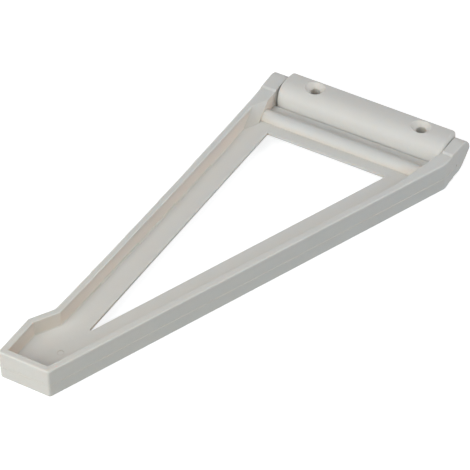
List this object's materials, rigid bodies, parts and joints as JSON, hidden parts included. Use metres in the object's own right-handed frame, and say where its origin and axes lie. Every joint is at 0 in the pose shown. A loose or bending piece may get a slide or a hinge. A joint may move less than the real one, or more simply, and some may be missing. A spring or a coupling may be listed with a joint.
{
  "type": "pivoting bracket",
  "caption": "Flat moulded swing-out support bracket: a long open triangular frame with a stepped toe that pivots between its ears on a screw-on hinge block.",
  "frame": {"origin": "midway between the two screw holes, on the hinge block's mounting face", "axes": "+X along the hinge towards the brace, -Y along the folded arm towards the toe, +Z out of the mounting face"},
  "size_m": [0.1086, 0.2218, 0.0174],
  "materials": {
    "frame_plastic": "satin moulded, pale grey-white",
    "block_plastic": "satin moulded, pale warm white",
    "pin_steel": "ground"
  },
  "bodies": {
    "wall_hinge": {"hinge_block": "block_plastic", "left_pivot_pin": "pin_steel", "right_pivot_pin": "pin_steel"},
    "swing_arm": {"swing_frame": "frame_plastic"}
  },
  "joints": [
    {"name": "arm_swing", "type": "hinge", "parent": "wall_hinge", "child": "swing_arm", "pos_m": [0, -0.00225, 0.0099], "axis": [-1, 0, 0], "range_deg": [0, 90]}
  ]
}
